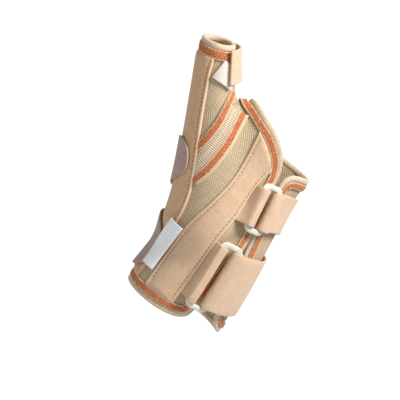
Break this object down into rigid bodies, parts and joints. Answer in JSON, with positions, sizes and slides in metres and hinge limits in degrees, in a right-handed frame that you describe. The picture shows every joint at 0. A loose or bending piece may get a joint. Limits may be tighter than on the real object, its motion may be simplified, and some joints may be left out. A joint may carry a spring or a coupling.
{
  "type": "thumb spica splint",
  "caption": "Fastened wrist and thumb splint: a knit wrap with a tube for the thumb, velour sleeves over the stays, straps through plastic rings.",
  "frame": {"origin": "middle of the forearm opening, level with the lowest point of the hem", "axes": "+Z runs along the forearm towards the hand, -Y is the side with the rings, the thumb tube leans to -X"},
  "size_m": [0.1201, 0.0812, 0.1621],
  "materials": {
    "knit": "olive beige spacer knit, matt",
    "binding": "cream elastic binding, matt",
    "stitched_tape": "cream tape covered with rust cover stitches",
    "velour": "beige brushed velour, matt",
    "ribbed_elastic": "ribbed cream elastic",
    "ring_plastic": "off-white moulded plastic, satin",
    "strap_velour": "beige loop velour, matt",
    "hook_tape": "white hook tape",
    "satin": "white woven satin"
  },
  "bodies": {
    "root": {"wrist_wrap": "knit", "thumb_tube": "knit", "edge_binding": "binding", "edge_tape": "stitched_tape", "cuff_binding": "binding", "cuff_tape": "stitched_tape", "forearm_stay_sleeve": "velour", "thumb_stay_sleeve": "velour", "gusset_panel": "ribbed_elastic", "gusset_tape_lower": "stitched_tape", "gusset_tape_upper": "stitched_tape", "wrist_ring": "ring_plastic", "wrist_ring_tab": "velour", "wrist_strap": "strap_velour", "palm_ring": "ring_plastic", "palm_ring_tab": "velour", "palm_strap": "strap_velour", "thumb_hook_tab": "hook_tape", "thumb_strap": "strap_velour", "label": "satin"}
  },
  "joints": []
}
